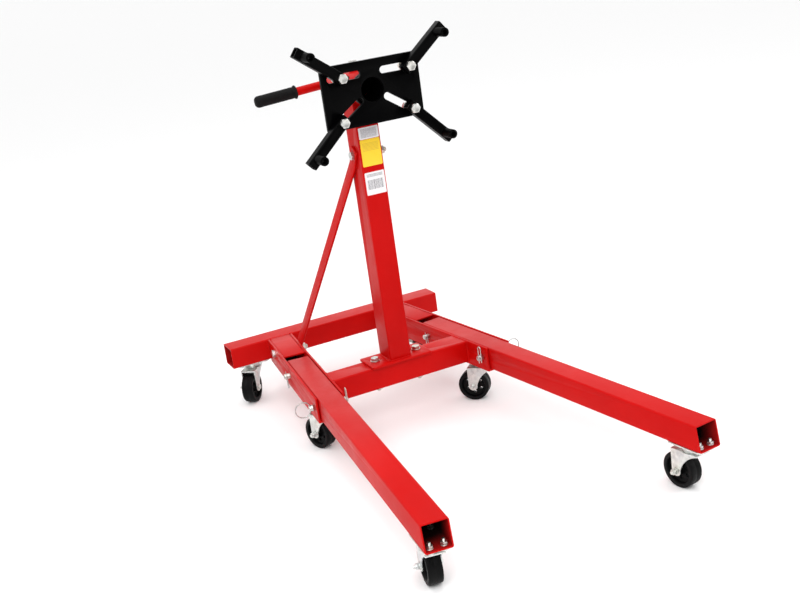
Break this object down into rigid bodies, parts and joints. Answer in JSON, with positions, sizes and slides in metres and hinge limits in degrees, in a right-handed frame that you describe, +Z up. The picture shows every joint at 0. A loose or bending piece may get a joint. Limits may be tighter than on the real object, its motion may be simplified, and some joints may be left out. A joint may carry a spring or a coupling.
{
  "type": "engine stand",
  "caption": "Folding red engine stand with a slotted black mounting plate on a turning head, adjustable engine arms, pull handle, hinged legs and swivel casters.",
  "frame": {"origin": "on the floor under the middle of the overall length and width", "axes": "+Z up, +Y to the rear beam, the legs reach towards -Y, +X to the right seen from the front"},
  "size_m": [0.7056, 1.3414, 1.0153],
  "materials": {
    "red_paint": "gloss",
    "black_paint": "satin",
    "bright_steel": "satin",
    "zinc": "satin",
    "black_plastic": "matte",
    "black_rubber": "matte",
    "label_film": "matte"
  },
  "bodies": {
    "frame": {"brace_bolts": "bright_steel", "brace_left": "red_paint", "brace_right": "red_paint", "cross_beam": "red_paint", "foot_bolts": "bright_steel", "foot_plate": "red_paint", "frame_caster_pads": "zinc", "head_sleeve": "red_paint", "mid_caster_screws": "zinc", "pivot_clips": "bright_steel", "pivot_pins": "bright_steel", "post": "red_paint", "post_labels": "label_film", "rear_beam": "red_paint", "rear_caster_bolts": "zinc", "socket_left_floor": "red_paint", "socket_left_sides": "red_paint", "socket_left_stub": "red_paint", "socket_right_floor": "red_paint", "socket_right_sides": "red_paint", "socket_right_stub": "red_paint"},
    "leg_left": {"leg_left": "red_paint", "leg_left_caster_pad": "zinc", "leg_left_caster_bolts": "zinc"},
    "leg_right": {"leg_right": "red_paint", "leg_right_caster_pad": "zinc", "leg_right_caster_bolts": "zinc"},
    "head": {"spindle": "black_paint", "spindle_collar": "black_paint", "mounting_plate": "black_paint", "handle_bar": "red_paint", "handle_grip": "black_rubber"},
    "index_pin": {"index_pin": "bright_steel"},
    "swivel_rear_right": {"fork_rear_right": "zinc"},
    "roller_rear_right": {"wheel_rear_right": "black_plastic"},
    "swivel_rear_left": {"fork_rear_left": "zinc"},
    "roller_rear_left": {"wheel_rear_left": "black_plastic"},
    "swivel_mid_right": {"fork_mid_right": "zinc"},
    "roller_mid_right": {"wheel_mid_right": "black_plastic"},
    "swivel_mid_left": {"fork_mid_left": "zinc"},
    "roller_mid_left": {"wheel_mid_left": "black_plastic"},
    "swivel_front_right": {"fork_front_right": "zinc"},
    "roller_front_right": {"wheel_front_right": "black_plastic"},
    "swivel_front_left": {"fork_front_left": "zinc"},
    "roller_front_left": {"wheel_front_left": "black_plastic"},
    "arm_clamp_1": {"arm_bolt_1": "bright_steel"},
    "engine_arm_1": {"arm_1": "black_paint"},
    "arm_clamp_2": {"arm_bolt_2": "bright_steel"},
    "engine_arm_2": {"arm_2": "black_paint"},
    "arm_clamp_3": {"arm_bolt_3": "bright_steel"},
    "engine_arm_3": {"arm_3": "black_paint"},
    "arm_clamp_4": {"arm_bolt_4": "bright_steel"},
    "engine_arm_4": {"arm_4": "black_paint"},
    "lock_left_outer": {"lock_pin_left_outer": "bright_steel", "lock_ring_left": "bright_steel"},
    "lock_left_inner": {"lock_pin_left_inner": "bright_steel"},
    "lock_right_outer": {"lock_pin_right_outer": "bright_steel", "lock_ring_right": "bright_steel"},
    "lock_right_inner": {"lock_pin_right_inner": "bright_steel"}
  },
  "joints": [
    {"name": "leg_left_fold", "type": "hinge", "parent": "frame", "child": "leg_left", "pos_m": [-0.20889, 0.35048, 0.142], "axis": [-0.9938, 0.1115, 0], "range_deg": [0, 82]},
    {"name": "leg_right_fold", "type": "hinge", "parent": "frame", "child": "leg_right", "pos_m": [0.20889, 0.35048, 0.142], "axis": [-0.9938, -0.1115, 0], "range_deg": [0, 82]},
    {"name": "head_turn", "type": "hinge", "parent": "frame", "child": "head", "pos_m": [0, 0.22048, 0.884], "axis": [0, 1, 0], "continuous": true},
    {"name": "index_pin_lift", "type": "slide", "parent": "frame", "child": "index_pin", "axis": [0, 0, 1], "range_m": [-0.006, 0.02]},
    {"name": "arm_1_slide", "type": "slide", "parent": "head", "child": "arm_clamp_1", "axis": [-1, 0, 0], "range_m": [-0.0415, 0.0198]},
    {"name": "arm_1_swing", "type": "hinge", "parent": "arm_clamp_1", "child": "engine_arm_1", "pos_m": [-0.083, 0.07798, 0.925], "axis": [0, 1, 0], "range_deg": [-30, 30]},
    {"name": "arm_2_slide", "type": "slide", "parent": "head", "child": "arm_clamp_2", "axis": [1, 0, 0], "range_m": [-0.0525, 0.0088]},
    {"name": "arm_2_swing", "type": "hinge", "parent": "arm_clamp_2", "child": "engine_arm_2", "pos_m": [0.094, 0.07798, 0.925], "axis": [0, 1, 0], "range_deg": [-30, 30]},
    {"name": "arm_3_slide", "type": "slide", "parent": "head", "child": "arm_clamp_3", "axis": [0.8279, 0, -0.5608], "range_m": [-0.0505, 0.0083]},
    {"name": "arm_3_swing", "type": "hinge", "parent": "arm_clamp_3", "child": "engine_arm_3", "pos_m": [0.091, 0.07798, 0.82474], "axis": [0, 1, 0], "range_deg": [-30, 30]},
    {"name": "arm_4_slide", "type": "slide", "parent": "head", "child": "arm_clamp_4", "axis": [-0.8279, 0, -0.5608], "range_m": [-0.054, 0.0046]},
    {"name": "arm_4_swing", "type": "hinge", "parent": "arm_clamp_4", "child": "engine_arm_4", "pos_m": [-0.094, 0.07798, 0.82271], "axis": [0, 1, 0], "range_deg": [-30, 30]},
    {"name": "caster_rear_right_swivel", "type": "hinge", "parent": "frame", "child": "swivel_rear_right", "pos_m": [0.266, 0.63548, 0.093], "axis": [0, 0, 1], "continuous": true},
    {"name": "caster_rear_right_roll", "type": "hinge", "parent": "swivel_rear_right", "child": "roller_rear_right", "pos_m": [0.25364, 0.60488, 0.042], "axis": [0.9272, -0.3746, 0], "continuous": true},
    {"name": "caster_rear_left_swivel", "type": "hinge", "parent": "frame", "child": "swivel_rear_left", "pos_m": [-0.266, 0.63548, 0.093], "axis": [0, 0, 1], "continuous": true},
    {"name": "caster_rear_left_roll", "type": "hinge", "parent": "swivel_rear_left", "child": "roller_rear_left", "pos_m": [-0.28632, 0.60947, 0.042], "axis": [0.788, -0.6157, 0], "continuous": true},
    {"name": "caster_mid_right_swivel", "type": "hinge", "parent": "frame", "child": "swivel_mid_right", "pos_m": [0.2323, 0.14179, 0.093], "axis": [0, 0, 1], "continuous": true},
    {"name": "caster_mid_right_roll", "type": "hinge", "parent": "swivel_mid_right", "child": "roller_mid_right", "pos_m": [0.20856, 0.16472, 0.042], "axis": [-0.6947, -0.7193, 0], "continuous": true},
    {"name": "caster_mid_left_swivel", "type": "hinge", "parent": "frame", "child": "swivel_mid_left", "pos_m": [-0.2323, 0.14179, 0.093], "axis": [0, 0, 1], "continuous": true},
    {"name": "caster_mid_left_roll", "type": "hinge", "parent": "swivel_mid_left", "child": "roller_mid_left", "pos_m": [-0.24413, 0.1726, 0.042], "axis": [-0.9336, -0.3584, 0], "continuous": true},
    {"name": "caster_front_right_swivel", "type": "hinge", "parent": "leg_right", "child": "swivel_front_right", "pos_m": [0.31724, -0.61546, 0.093], "axis": [0, 0, 1], "continuous": true},
    {"name": "caster_front_right_roll", "type": "hinge", "parent": "swivel_front_right", "child": "roller_front_right", "pos_m": [0.31208, -0.58286, 0.042], "axis": [-0.9877, -0.1564, 0], "continuous": true},
    {"name": "caster_front_left_swivel", "type": "hinge", "parent": "leg_left", "child": "swivel_front_left", "pos_m": [-0.31724, -0.61546, 0.093], "axis": [0, 0, 1], "continuous": true},
    {"name": "caster_front_left_roll", "type": "hinge", "parent": "swivel_front_left", "child": "roller_front_left", "pos_m": [-0.31094, -0.58306, 0.042], "axis": [-0.9816, 0.1908, 0], "continuous": true},
    {"name": "lock_left_outer_slide", "type": "slide", "parent": "frame", "child": "lock_left_outer", "axis": [-0.9938, 0.1115, 0], "range_m": [-0.004, 0.04]},
    {"name": "lock_left_inner_slide", "type": "slide", "parent": "frame", "child": "lock_left_inner", "axis": [0.9938, -0.1115, 0], "range_m": [-0.004, 0.04]},
    {"name": "lock_right_outer_slide", "type": "slide", "parent": "frame", "child": "lock_right_outer", "axis": [0.9938, 0.1115, 0], "range_m": [-0.004, 0.04]},
    {"name": "lock_right_inner_slide", "type": "slide", "parent": "frame", "child": "lock_right_inner", "axis": [-0.9938, -0.1115, 0], "range_m": [-0.004, 0.04]}
  ]
}
